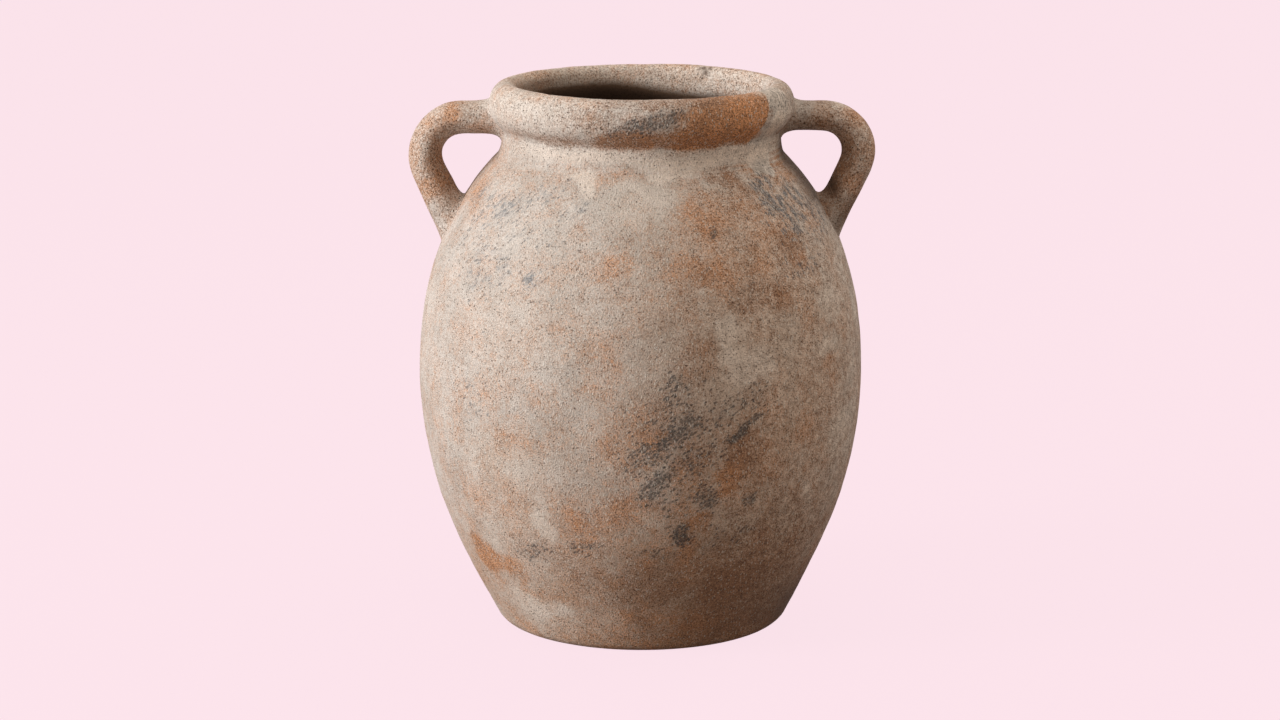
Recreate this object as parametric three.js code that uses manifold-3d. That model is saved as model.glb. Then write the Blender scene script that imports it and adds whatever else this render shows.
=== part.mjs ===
// A hand-built terracotta jar vase with a thick rolled rim and two ear handles.
// Units are millimetres, +Z is up, and the origin is the centre of the underside.
// The pieces are those of a potter's bench: a base slab, two thrown wall sections, a thrown
// rim collar, two pulled handles and the coils of soft clay that lute them together.
// Every luted seam keeps a thin layer of slip between its two pieces.

import * as THREE from "three";
import { mergeVertices } from "three/addons/utils/BufferGeometryUtils.js";
import Module from "manifold-3d";

// Overall form
const HEIGHT = 380; // underside to the crest of the lip
const BELLY_RADIUS = 154.5; // widest part of the body
const BELLY_HEIGHT = 177;
const FOOT_RADIUS = 99; // where the line of the lower wall would meet the ground
const FOOT_ROUND = 12; // rounding of the foot's edge
const FOOT_ANGLE = 62.5; // degrees that the wall rises from the ground at the foot
const WALL = 9; // thickness of the thrown walls
const FLOOR = 14; // thickness of the base slab

// Shoulder and neck
const SHOULDER_ANGLE = 46; // degrees from the horizontal where the shoulder nears the neck
const NECK_RADIUS = 96.5; // bottom of the groove under the collar
const NECK_DROP = 34; // lip crest down to that groove
const NECK_SWEEP_OUT = 3.5; // the curve from shoulder to groove, sideways
const NECK_SWEEP_DOWN = 16.5; // and downwards

// Rim collar
const COLLAR_OVERHANG = 9; // how far the collar's widest part stands out past the groove
const COLLAR_DROP = 17; // lip crest down to that widest part
const LIP_INSET = 12.5; // from that widest part in to the crest of the lip
const LIP_ROUND = 9; // how full the lip is outside its crest
const MOUTH_OVERHANG = 2.5; // how far the lip stands in past the inside of the neck

// How far each curve of the outer line runs on along its heading before it turns
const FOOT_PULL = 46; // lower wall, up from the foot
const LOWER_BELLY_PULL = 71; // lower wall, down from the belly
const UPPER_BELLY_PULL = 80; // shoulder, up from the belly
const SHOULDER_PULL = 39; // shoulder, down from the neck
const NECK_PULL = 8; // neck, down from the groove
const GROOVE_PULL = 4.5; // underside of the collar, up from the groove
const COLLAR_PULL = 9; // underside of the collar, down from its widest part

// Luted seams
const SLIP = 0.3; // thickness of the slip in a joint
const SEAT_DEPTH = 3; // depth of the V groove that one section's edge seats in
const FLOOR_COIL = 15; // legs of the coil pressed into the corner of floor and wall

// Ear handles
const HANDLE_DROP = 24.5; // lip crest down to the middle of the handle's top run
const HANDLE_REACH = 56.1; // widest part of the collar to the outermost point of a handle
const HANDLE_THICK = 22.5; // strap, across its bend
const HANDLE_WIDE = 30; // strap, along the bend's axis
const HANDLE_LEAN = 65; // degrees that the lower leg falls from the horizontal
const LEFT_BEND = 26; // radius of the strap's middle line in its bend: the left one is rounder
const RIGHT_BEND = 21;
const ROOT_DEPTH = 14; // how far the strap's middle line runs on inside the wall's face

// Luting coils round the handles' roots
const LUTE_EDGE = 0.9; // thickness where a coil is smeared out on the strap
const LUTE_LENGTH = 14; // how far a coil climbs along the strap
const UPPER_LUTE_OUTSIDE = 2.5; // spread past the strap at the wall, on the outside of the bend
const UPPER_LUTE_INSIDE = 7; // and on its inside
const LOWER_LUTE_OUTSIDE = 3;
const LOWER_LUTE_INSIDE = 5;

// Facets
const ROUND_STEPS = 48; // round the axis of the vase
const CURVE_STEPS = 9; // along a long curve of a half section
const SHORT_CURVE_STEPS = 5;
const STRAP_STEPS = 24; // along a handle
const STRAP_SIDES = 16; // round a handle
const SEARCH_STEPS = 400; // along the shoulder, where a handle's leg is brought to meet it

const wasm = await Module();
wasm.setup();

const point = (x, y) => new THREE.Vector2(x, y);
const radians = THREE.MathUtils.degToRad;
const heading = (degrees) => point(Math.cos(radians(degrees)), Math.sin(radians(degrees)));
const along = (start, direction, distance) => start.clone().addScaledVector(direction, distance);

// Clay and its colours
const weathered = new THREE.MeshStandardMaterial({ color: 0xbfa893, roughness: 0.95, metalness: 0 });
const bare = new THREE.MeshStandardMaterial({ color: 0xa9805f, roughness: 0.92, metalness: 0 });
const smeared = new THREE.MeshStandardMaterial({ color: 0xb59b85, roughness: 0.96, metalness: 0 });

// Outer line of the walls, as half sections of radius and height

const neckHeight = HEIGHT - NECK_DROP;
const collarRadius = NECK_RADIUS + COLLAR_OVERHANG;
const mouthRadius = NECK_RADIUS - WALL - MOUTH_OVERHANG;
const footHeading = heading(FOOT_ANGLE);
const shoulderHeading = heading(180 - SHOULDER_ANGLE);
const up = heading(90);

const wallFoot = along(point(FOOT_RADIUS, 0), footHeading, FLOOR / footHeading.y);
const belly = point(BELLY_RADIUS, BELLY_HEIGHT);
const shoulderTop = point(NECK_RADIUS + NECK_SWEEP_OUT, neckHeight - NECK_SWEEP_DOWN);
const neck = point(NECK_RADIUS, neckHeight);
const collar = point(collarRadius, HEIGHT - COLLAR_DROP);
const lip = point(collarRadius - LIP_INSET, HEIGHT);

const lowerLine = new THREE.CubicBezierCurve(
  wallFoot,
  along(wallFoot, footHeading, FOOT_PULL),
  along(belly, up, -LOWER_BELLY_PULL),
  belly,
);
const shoulderLine = new THREE.CubicBezierCurve(
  belly,
  along(belly, up, UPPER_BELLY_PULL),
  along(shoulderTop, shoulderHeading, -SHOULDER_PULL),
  shoulderTop,
);
const neckLine = new THREE.CubicBezierCurve(
  shoulderTop,
  along(shoulderTop, shoulderHeading, NECK_SWEEP_OUT),
  along(neck, up, -NECK_PULL),
  neck,
);
const collarLine = new THREE.CubicBezierCurve(
  neck,
  along(neck, up, GROOVE_PULL),
  along(collar, up, -COLLAR_PULL),
  collar,
);
const lipLine = new THREE.CubicBezierCurve(
  collar,
  along(collar, up, LIP_ROUND),
  along(lip, point(1, 0), LIP_ROUND),
  lip,
);
const mouthLine = new THREE.CubicBezierCurve(
  lip,
  point(mouthRadius, HEIGHT),
  point(mouthRadius, HEIGHT - COLLAR_DROP),
  point(NECK_RADIUS - WALL, neckHeight + SLIP),
);

// Points of a line, or of the line set in from it by a distance.
function points(line, steps, inset = 0) {
  return Array.from({ length: steps + 1 }, (_, i) => {
    const tangent = line.getTangent(i / steps);
    return along(line.getPoint(i / steps), point(-tangent.y, tangent.x), inset);
  });
}

const raised = (list, by) => list.map((p) => point(p.x, p.y + by));
const reversed = (list) => [...list].reverse();

// The edge of a wall section between two points: a V that the next section seats in.
const seat = (outer, inner) => point((outer.x + inner.x) / 2, (outer.y + inner.y) / 2 - SEAT_DEPTH);

// A solid of revolution about Z from a half section that runs anticlockwise.
function revolve(section) {
  const ring = section[0].x > 0;
  return new THREE.LatheGeometry(ring ? [...section, section[0]] : section, ROUND_STEPS).rotateX(Math.PI / 2);
}

// Thrown pieces

const innerFoot = point(wallFoot.x - WALL / footHeading.y, FLOOR);
const innerNeck = point(NECK_RADIUS - WALL, neckHeight);
const lowerInside = points(lowerLine, CURVE_STEPS, WALL);
const shoulderInside = [
  ...points(shoulderLine, CURVE_STEPS, WALL),
  ...points(neckLine, SHORT_CURVE_STEPS, WALL).slice(1, -1),
  innerNeck,
];

function baseSlab() {
  const arcLeg = FOOT_ROUND * Math.tan(radians(FOOT_ANGLE) / 2);
  const edge = new THREE.Path().absarc(
    FOOT_RADIUS - arcLeg, FOOT_ROUND, FOOT_ROUND, -Math.PI / 2, radians(FOOT_ANGLE) - Math.PI / 2,
  );
  return revolve([
    point(0, 0),
    ...edge.getPoints(SHORT_CURVE_STEPS),
    wallFoot,
    seat(wallFoot, innerFoot),
    innerFoot,
    point(0, FLOOR),
  ]);
}

function lowerWall() {
  const outside = points(lowerLine, CURVE_STEPS);
  const [foot, innerEdge] = raised([wallFoot, innerFoot], SLIP);
  return revolve([
    foot,
    ...outside.slice(1),
    seat(belly, lowerInside.at(-1)),
    ...reversed(lowerInside),
    innerEdge,
    seat(foot, innerEdge),
  ]);
}

function shoulderWall() {
  const outside = [...points(shoulderLine, CURVE_STEPS), ...points(neckLine, SHORT_CURVE_STEPS).slice(1)];
  const [bottom, innerEdge] = raised([belly, shoulderInside[0]], SLIP);
  return revolve([
    bottom,
    ...outside.slice(1),
    seat(neck, innerNeck),
    ...reversed(shoulderInside.slice(1)),
    innerEdge,
    seat(bottom, innerEdge),
  ]);
}

function rimCollar() {
  const [bottom, innerEdge] = raised([neck, innerNeck], SLIP);
  return revolve([
    bottom,
    ...points(collarLine, SHORT_CURVE_STEPS).slice(1),
    ...points(lipLine, SHORT_CURVE_STEPS).slice(1),
    ...points(mouthLine, CURVE_STEPS).slice(1),
    seat(bottom, innerEdge),
  ]);
}

// The coil in the inside corner of floor and wall, with a hollow face.
function floorCoil() {
  const corner = point(innerFoot.x - SLIP / footHeading.y, FLOOR + SLIP);
  const onWall = along(corner, footHeading, FLOOR_COIL);
  const onFloor = point(corner.x - FLOOR_COIL, FLOOR + SLIP);
  const face = new THREE.QuadraticBezierCurve(onWall, along(corner, footHeading, SLIP), onFloor);
  return revolve([corner, ...face.getPoints(SHORT_CURVE_STEPS)]);
}

// Handles

// A mesh's closed surface as a solid for cutting, and a cut solid as a surface again.
function solid(geometry) {
  const bareGeometry = geometry.clone();
  bareGeometry.deleteAttribute("normal");
  bareGeometry.deleteAttribute("uv");
  const merged = mergeVertices(bareGeometry, 1e-3);
  return new wasm.Manifold(
    new wasm.Mesh({
      numProp: 3,
      vertProperties: merged.attributes.position.array,
      triVerts: new Uint32Array(merged.index.array),
    }),
  );
}

function surface(cut) {
  const mesh = cut.getMesh();
  return new THREE.BufferGeometry()
    .setAttribute("position", new THREE.BufferAttribute(mesh.vertProperties, 3))
    .setIndex(new THREE.BufferAttribute(mesh.triVerts, 1));
}

// The jar from its belly up, without its hollow and grown by the slip: what the handles butt against.
const jarFace = solid(
  revolve([
    point(0, BELLY_HEIGHT),
    ...points(shoulderLine, CURVE_STEPS, -SLIP),
    ...points(neckLine, SHORT_CURVE_STEPS, -SLIP).slice(1),
    ...points(collarLine, SHORT_CURVE_STEPS, -SLIP).slice(1),
    ...points(lipLine, SHORT_CURVE_STEPS, -SLIP).slice(1),
    point(0, HEIGHT + SLIP),
  ]),
);

// The middle line of a strap in the plane of the two handles: straight out from the collar, round
// the bend and down the leg until it is well inside the shoulder. side is -1 on the left.
class StrapLine extends THREE.Curve {
  constructor(side, bend) {
    super();
    const height = HEIGHT - HANDLE_DROP;
    const centre = point(collarRadius + HANDLE_REACH - HANDLE_THICK / 2 - bend, height - bend);
    const bendStart = 90;
    const bendEnd = HANDLE_LEAN - 90;
    const outward = heading(bendEnd);
    const legTop = along(centre, outward, bend);
    const leg = heading(HANDLE_LEAN - 180);
    const root = meetShoulder(legTop, leg);
    const legEnd = along(root.place, leg, ROOT_DEPTH);
    this.side = side;
    this.lowerSkew = root.slope.dot(leg) / root.slope.dot(outward);
    this.path = new THREE.Path();
    this.path.moveTo(collarRadius - ROOT_DEPTH, height);
    this.path.lineTo(centre.x, height);
    this.path.absarc(centre.x, centre.y, bend, radians(bendStart), radians(bendEnd), true);
    this.path.lineTo(legEnd.x, legEnd.y);
  }

  getPoint(t) {
    const p = this.path.getPoint(t);
    return new THREE.Vector3(this.side * p.x, 0, p.y);
  }
}

// Where a line from a point outside the shoulder, along a heading, meets the shoulder's face, and how
// the face slopes there.
function meetShoulder(start, direction) {
  const astray = (p) => Math.abs(p.clone().sub(start).cross(direction));
  const shares = Array.from({ length: SEARCH_STEPS + 1 }, (_, i) => i / SEARCH_STEPS);
  const nearest = shares.reduce((best, t) =>
    astray(shoulderLine.getPoint(t)) < astray(shoulderLine.getPoint(best)) ? t : best,
  );
  return { place: shoulderLine.getPoint(nearest), slope: shoulderLine.getTangent(nearest) };
}

// The oval strap as a solid, grown all round by a clearance.
function strap(line, grown = 0) {
  const oval = new THREE.Shape();
  oval.absellipse(0, 0, HANDLE_THICK / 2 + grown, HANDLE_WIDE / 2 + grown, 0, 2 * Math.PI);
  return solid(
    new THREE.ExtrudeGeometry(oval, {
      steps: STRAP_STEPS,
      curveSegments: STRAP_SIDES / 2,
      extrudePath: line,
    }),
  );
}

// A closed surface through rings of points, each with as many points, capped at both ends.
function loft(rings) {
  const sides = rings[0].length;
  const corners = rings.flat();
  const faces = [];
  rings.slice(1).forEach((_, ring) => {
    for (let i = 0; i < sides; i++) {
      const a = ring * sides + i;
      const b = ring * sides + ((i + 1) % sides);
      faces.push(a, b, a + sides, b, b + sides, a + sides);
    }
  });
  const last = (rings.length - 1) * sides;
  for (let i = 1; i < sides - 1; i++) {
    faces.push(0, i + 1, i);
    faces.push(last, last + i, last + i + 1);
  }
  return new THREE.BufferGeometry().setFromPoints(corners).setIndex(faces);
}

// A luting coil: a ring of clay round a strap's root that is thick at the wall's face and smeared thin
// along the strap. It starts at the strap's end inside the wall, at share 0 or 1 of the strap's line,
// and its rings lie parallel to the wall: skew is how far they lean along the strap, to each unit out.
function lute(line, endShare, skew, outsideSpread, insideSpread) {
  const wide = new THREE.Vector3(0, 1, 0);
  const climbs = Array.from({ length: CURVE_STEPS + 1 }, (_, i) => (LUTE_LENGTH * i) / CURVE_STEPS);
  const rings = [-ROOT_DEPTH, ...climbs].map((climb) => {
    const share = Math.abs(endShare - (ROOT_DEPTH + climb) / line.getLength());
    const middle = line.getPointAt(share);
    const tangent = line.getTangentAt(share);
    const outward = wide.clone().cross(tangent).multiplyScalar(-line.side);
    const leaning = outward.clone().addScaledVector(tangent, skew);
    const thinning = (1 - Math.max(climb, 0) / LUTE_LENGTH) ** 2;
    return Array.from({ length: STRAP_SIDES }, (_, i) => {
      const turn = (2 * Math.PI * i) / STRAP_SIDES;
      const spread = THREE.MathUtils.lerp(outsideSpread, insideSpread, (1 - Math.cos(turn)) / 2);
      const grown = SLIP + LUTE_EDGE + spread * thinning;
      return middle
        .clone()
        .addScaledVector(leaning, (HANDLE_THICK / 2 + grown) * Math.cos(turn))
        .addScaledVector(wide, (HANDLE_WIDE / 2 + grown) * Math.sin(turn));
    });
  });
  const facesOut = (endShare === 0) === line.side > 0;
  const ring = solid(loft(facesOut ? reversed(rings) : rings));
  return ring.subtract(strap(line, SLIP)).subtract(jarFace);
}

// Assembly

const vase = new THREE.Group();

function add(name, geometry, material) {
  const mesh = new THREE.Mesh(geometry, material);
  mesh.name = name;
  vase.add(mesh);
}

add("base_slab", baseSlab(), bare);
add("floor_coil", floorCoil(), smeared);
add("lower_wall", lowerWall(), weathered);
add("shoulder_wall", shoulderWall(), weathered);
add("rim_collar", rimCollar(), weathered);

for (const [hand, side, bend] of [["left", -1, LEFT_BEND], ["right", 1, RIGHT_BEND]]) {
  const line = new StrapLine(side, bend);
  add(`${hand}_handle`, surface(strap(line).subtract(jarFace)), weathered);
  add(`${hand}_upper_lute`, surface(lute(line, 0, 0, UPPER_LUTE_OUTSIDE, UPPER_LUTE_INSIDE)), smeared);
  const lowerLute = lute(line, 1, line.lowerSkew, LOWER_LUTE_OUTSIDE, LOWER_LUTE_INSIDE);
  add(`${hand}_lower_lute`, surface(lowerLute), smeared);
}

export default vase;
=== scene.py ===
import math
from collections import namedtuple

import bmesh
import bpy
import numpy as np
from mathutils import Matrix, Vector, noise


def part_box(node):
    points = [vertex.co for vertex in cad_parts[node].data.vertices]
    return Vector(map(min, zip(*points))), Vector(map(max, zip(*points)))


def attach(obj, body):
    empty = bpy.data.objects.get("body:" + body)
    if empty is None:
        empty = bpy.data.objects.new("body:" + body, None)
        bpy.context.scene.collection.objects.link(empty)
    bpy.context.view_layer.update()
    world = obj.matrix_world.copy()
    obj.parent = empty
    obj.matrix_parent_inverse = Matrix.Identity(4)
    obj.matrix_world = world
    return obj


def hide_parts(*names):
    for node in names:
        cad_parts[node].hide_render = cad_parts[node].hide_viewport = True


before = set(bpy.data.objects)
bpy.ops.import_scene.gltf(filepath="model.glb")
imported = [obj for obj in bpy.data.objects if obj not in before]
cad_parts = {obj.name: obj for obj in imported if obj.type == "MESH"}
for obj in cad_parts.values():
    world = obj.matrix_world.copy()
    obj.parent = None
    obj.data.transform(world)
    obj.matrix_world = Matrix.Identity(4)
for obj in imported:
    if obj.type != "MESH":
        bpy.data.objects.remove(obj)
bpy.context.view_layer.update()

# A weathered terracotta jar vase with a rolled rim and two ear handles.
# Sizes are in metres, +Z is up, and the front of the vase faces -Y.

MM = 0.001

# Sizes that the frame gives
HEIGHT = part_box("rim_collar")[1].z
COLLAR_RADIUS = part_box("rim_collar")[1].x
BELLY_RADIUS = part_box("shoulder_wall")[1].x
LEFT_REACH = -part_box("left_handle")[0].x
RIGHT_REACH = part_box("right_handle")[1].x

# Seams of the pot
FLOOR_HEIGHT = 14 * MM
BELLY_HEIGHT = 177 * MM
NECK_HEIGHT = 346 * MM

# Half section of the pot, from the foot to the lip
FOOT_RADIUS = 99 * MM
FOOT_ROUND = 12 * MM
FOOT_ANGLE = 62.5
SHOULDER_ANGLE = 46
SHOULDER_TOP = Vector((100, 329.5)) * MM
NECK_RADIUS = 96.5 * MM
COLLAR_HEIGHT = 363 * MM
LIP_RADIUS = 93 * MM
LIP_ROUND = 9 * MM
MOUTH_RADIUS = 85 * MM
WALL = 9 * MM
FOOT_PULL = 46 * MM
LOWER_BELLY_PULL = 71 * MM
UPPER_BELLY_PULL = 80 * MM
SHOULDER_PULL = 39 * MM
NECK_SWEEP = 3.5 * MM
NECK_PULL = 8 * MM
GROOVE_PULL = 4.5 * MM
COLLAR_PULL = 9 * MM
THROWING_RINGS = 12 * MM
THROWING_DEPTH = 0.5 * MM

# Fineness of the thrown surfaces
ROUND_STEPS = 480
OUTSIDE_STEP = 2.1 * MM
INSIDE_STEP = 4 * MM
ROLLED_STEP = 1.5 * MM
LEAST_STEPS = 3
FOOT_ARC_POINTS = 9
SLAB_EDGE_STEPS = 4


# Lines of the half section

def heading(degrees):
    return Vector((math.cos(math.radians(degrees)), math.sin(math.radians(degrees))))


UP = heading(90)


def curve(start, first_pull, second_pull, end, step):
    """Points of a cubic curve between two ends, about a step apart, without its first point."""
    steps = max(LEAST_STEPS, round((end - start).length / step))
    points = []
    for i in range(1, steps + 1):
        t = i / steps
        early = (1 - t) ** 3 * start + 3 * (1 - t) ** 2 * t * first_pull
        late = 3 * (1 - t) * t**2 * second_pull + t**3 * end
        points.append(early + late)
    return points


def set_in(line, start, distance):
    """The line moved towards the inside of the pot, with ripples from the thrower's fingers."""
    moved = []
    for before, point, after in zip([start] + line[:-1], line, line[1:] + line[-1:]):
        along = (after - before).normalized()
        ripple = THROWING_DEPTH * math.sin(2 * math.pi * point.y / THROWING_RINGS)
        moved.append(point + Vector((-along.y, along.x)) * (distance + ripple))
    return moved


FOOT_HEADING = heading(FOOT_ANGLE)
SHOULDER_HEADING = heading(180 - SHOULDER_ANGLE)
WALL_FOOT = Vector((FOOT_RADIUS, 0)) + FOOT_HEADING * (FLOOR_HEIGHT / FOOT_HEADING.y)
BELLY = Vector((BELLY_RADIUS, BELLY_HEIGHT))
NECK = Vector((NECK_RADIUS, NECK_HEIGHT))
COLLAR = Vector((COLLAR_RADIUS, COLLAR_HEIGHT))
LIP = Vector((LIP_RADIUS, HEIGHT))
INNER_NECK = NECK - Vector((WALL, 0))


def foot_line():
    """The rounded edge of the slab, from the ground to where the wall starts."""
    centre = Vector((FOOT_RADIUS - FOOT_ROUND * math.tan(math.radians(FOOT_ANGLE) / 2), FOOT_ROUND))
    turns = np.linspace(-90, FOOT_ANGLE - 90, FOOT_ARC_POINTS)
    arc = [centre + heading(turn) * FOOT_ROUND for turn in turns]
    return arc + [arc[-1].lerp(WALL_FOOT, i / SLAB_EDGE_STEPS) for i in range(1, SLAB_EDGE_STEPS + 1)]


def lower_line(step):
    rise = WALL_FOOT + FOOT_HEADING * FOOT_PULL
    return curve(WALL_FOOT, rise, BELLY - UP * LOWER_BELLY_PULL, BELLY, step)


def shoulder_line(step):
    brace = SHOULDER_TOP - SHOULDER_HEADING * SHOULDER_PULL
    return curve(BELLY, BELLY + UP * UPPER_BELLY_PULL, brace, SHOULDER_TOP, step)


def neck_line(step):
    sweep = SHOULDER_TOP + SHOULDER_HEADING * NECK_SWEEP
    return curve(SHOULDER_TOP, sweep, NECK - UP * NECK_PULL, NECK, step)


def collar_line():
    """The outside of the rolled rim, from the neck to the lip."""
    under = curve(NECK, NECK + UP * GROOVE_PULL, COLLAR - UP * COLLAR_PULL, COLLAR, ROLLED_STEP)
    over = curve(COLLAR, COLLAR + UP * LIP_ROUND, LIP + Vector((LIP_ROUND, 0)), LIP, ROLLED_STEP)
    return under + over


def mouth_line():
    """The inside of the rim, from the lip down to the neck."""
    mouth_top = Vector((MOUTH_RADIUS, HEIGHT))
    return curve(LIP, mouth_top, Vector((MOUTH_RADIUS, COLLAR_HEIGHT)), INNER_NECK, ROLLED_STEP)


def outside_line():
    """The outer face, from where the wall starts to the neck."""
    return lower_line(OUTSIDE_STEP) + shoulder_line(OUTSIDE_STEP) + neck_line(OUTSIDE_STEP)


OUTER_FACE = [WALL_FOOT] + outside_line() + collar_line()
OUTER_HEIGHTS = [point.y for point in OUTER_FACE]
OUTER_RADII = [point.x for point in OUTER_FACE]


def wall_radius(height):
    return np.interp(height, OUTER_HEIGHTS, OUTER_RADII)


# Modelling helpers

MERGE_DISTANCE = 0.01 * MM
SHARP_ANGLE = 40


def deselect_all():
    bpy.ops.object.select_all(action="DESELECT")


def make_active(piece):
    deselect_all()
    piece.select_set(True)
    bpy.context.view_layer.objects.active = piece


def apply_modifiers(piece):
    make_active(piece)
    for modifier in list(piece.modifiers):
        bpy.ops.object.modifier_apply(modifier=modifier.name)


def draw_line(name, points):
    """A line of points in the XZ plane, drawn by extruding one vertex."""
    deselect_all()
    bpy.ops.mesh.primitive_plane_add(size=MM, location=(0, 0, 0))
    piece = bpy.context.object
    piece.name = piece.data.name = name
    bpy.ops.object.mode_set(mode="EDIT")
    bpy.ops.mesh.select_mode(type="VERT")
    bpy.ops.mesh.merge(type="CENTER")
    bpy.ops.transform.translate(value=(points[0].x, 0, points[0].y))
    for before, point in zip(points, points[1:]):
        step = (point.x - before.x, 0, point.y - before.y)
        bpy.ops.mesh.extrude_region_move(TRANSFORM_OT_translate={"value": step})
    bpy.ops.object.mode_set(mode="OBJECT")
    return piece


def face_outwards():
    """Turns all faces of the mesh that is being edited outwards."""
    bpy.ops.mesh.select_all(action="SELECT")
    bpy.ops.mesh.normals_make_consistent(inside=False)


def spin_round(piece, steps):
    """Turns a line into a round wall about Z."""
    spin = piece.modifiers.new("spin", "SCREW")
    spin.axis = "Z"
    spin.angle = 2 * math.pi
    spin.steps = spin.render_steps = steps
    apply_modifiers(piece)
    bpy.ops.object.mode_set(mode="EDIT")
    bpy.ops.mesh.select_all(action="SELECT")
    bpy.ops.mesh.remove_doubles(threshold=MERGE_DISTANCE)
    face_outwards()
    bpy.ops.object.mode_set(mode="OBJECT")


def finish_mesh(part):
    make_active(part)
    bpy.ops.object.mode_set(mode="EDIT")
    face_outwards()
    bpy.ops.object.mode_set(mode="OBJECT")
    bpy.ops.object.shade_smooth_by_angle(angle=math.radians(SHARP_ANGLE))


Unevenness = namedtuple("Unevenness", "name size depth detail")

UNEVENNESS = [
    Unevenness("wobble", 95 * MM, 1.2 * MM, 1),
    Unevenness("finger_dents", 30 * MM, 0.9 * MM, 2),
    Unevenness("sandy_skin", 7 * MM, 0.3 * MM, 3),
]
GROUND_FADE = 6 * MM


def make_uneven(piece):
    """The unevenness of hand work, least where the pot stands on the ground."""
    free = piece.vertex_groups.new(name="free_of_ground")
    free.add(range(len(piece.data.vertices)), 1, "REPLACE")
    for vertex in piece.data.vertices:
        if vertex.co.z < GROUND_FADE:
            free.add([vertex.index], max(0, vertex.co.z / GROUND_FADE), "REPLACE")
    for step in UNEVENNESS:
        clouds = bpy.data.textures.get(step.name) or bpy.data.textures.new(step.name, "CLOUDS")
        clouds.noise_scale = step.size
        clouds.noise_depth = step.detail
        modifier = piece.modifiers.new(step.name, "DISPLACE")
        modifier.texture = clouds
        modifier.texture_coords = "LOCAL"
        modifier.strength = step.depth
        modifier.vertex_group = free.name
    apply_modifiers(piece)
    piece.vertex_groups.clear()


def mark_parts(piece, names, part_of):
    """Gives each face the marker of its part, the one of the names that part_of picks for the face."""
    for name in names:
        piece.data.materials.append(bpy.data.materials.new(name))
    for face in piece.data.polygons:
        face.material_index = part_of(face)


def separate_parts(piece):
    """Splits a piece at its part markers and names each part after its marker."""
    make_active(piece)
    bpy.ops.object.mode_set(mode="EDIT")
    bpy.ops.mesh.select_all(action="SELECT")
    bpy.ops.mesh.separate(type="MATERIAL")
    bpy.ops.object.mode_set(mode="OBJECT")
    made = {}
    for part in list(bpy.context.selected_objects):
        marker = part.data.materials[part.data.polygons[0].material_index]
        part.name = part.data.name = marker.name
        part.data.materials.clear()
        made[marker.name] = part
    return made


def select_border(part, keep):
    """Selects in edit mode the open edges of a part whose middle the test keeps."""
    make_active(part)
    bpy.ops.object.mode_set(mode="EDIT")
    bpy.ops.mesh.select_mode(type="EDGE")
    bpy.ops.mesh.select_all(action="DESELECT")
    mesh = bmesh.from_edit_mesh(part.data)
    for edge in mesh.edges:
        if edge.is_boundary:
            edge.select = keep((edge.verts[0].co + edge.verts[1].co) / 2)
    mesh.select_flush_mode()
    bmesh.update_edit_mesh(part.data)


# Thrown body: slab, two walls and the rim collar

ROUND_BODY = ["base_slab", "lower_wall", "shoulder_wall", "rim_collar"]
SEAMS = [FLOOR_HEIGHT, BELLY_HEIGHT, NECK_HEIGHT]
SEAM_REACH = 5 * MM
WALL_SEAMS = [
    ("lower_wall", BELLY_HEIGHT),
    ("lower_wall", FLOOR_HEIGHT),
    ("shoulder_wall", NECK_HEIGHT),
    ("shoulder_wall", BELLY_HEIGHT),
    ("rim_collar", NECK_HEIGHT),
]
FLOOR_COLUMNS = ROUND_STEPS // 4
FLOOR_SLIP = 0.05 * MM


def body_line():
    """The run of the half section: up the outside, over the lip and down the inside."""
    lower_inside = set_in([WALL_FOOT] + lower_line(INSIDE_STEP), WALL_FOOT, WALL)
    upper_inside = set_in([BELLY] + shoulder_line(INSIDE_STEP) + neck_line(INSIDE_STEP), BELLY, WALL)
    inside = upper_inside[-2::-1] + lower_inside[-2::-1]
    inside = [point for point in inside if point.y > FLOOR_HEIGHT + INSIDE_STEP / 2]
    drop = inside[-1].y - FLOOR_HEIGHT - FLOOR_SLIP
    inside_foot = inside[-1] - FOOT_HEADING * (drop / FOOT_HEADING.y)
    return foot_line() + outside_line() + collar_line() + mouth_line() + inside + [inside_foot]


def throw_body():
    body = draw_line("thrown_body", body_line())
    spin_round(body, ROUND_STEPS)
    mark_parts(body, ROUND_BODY, lambda face: int(np.searchsorted(SEAMS, face.center.z)))
    make_uneven(body)
    made = separate_parts(body)
    for name, seam in WALL_SEAMS:
        select_border(made[name], lambda middle: abs(middle.z - seam) < SEAM_REACH)
        bpy.ops.mesh.bridge_edge_loops()
        bpy.ops.object.mode_set(mode="OBJECT")
    for is_top in (False, True):
        select_border(made["base_slab"], lambda middle: (middle.z > FLOOR_HEIGHT / 2) == is_top)
        bpy.ops.mesh.fill_grid(span=FLOOR_COLUMNS)
        bpy.ops.object.mode_set(mode="OBJECT")
    for part in made.values():
        finish_mesh(part)
    return made


parts = throw_body()


# Ear handles with their luting coils

Ear = namedtuple("Ear", "side reach bend top_height top_thick bend_thick leg_thick lower_spread")
Root = namedtuple("Root", "place along into_wall thick spread")

HANDLE_WIDE = 30 * MM
HANDLE_LEAN = 65
ROOT_DEPTH = 14 * MM
LUTE_LENGTH = 12 * MM
SLANT_LENGTH = 32 * MM
SUNK = 3 * MM
STRAP_SIDES = 24
STRAP_STEP = 4.5 * MM
SKIN_LEVEL = 2

# Subdivision draws a ring of this many sides in to this share of its size
ROUND_CAGE = (2 + math.cos(2 * math.pi / STRAP_SIDES)) / 3

RIGHT_STRETCH = 0.5 * MM

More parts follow.
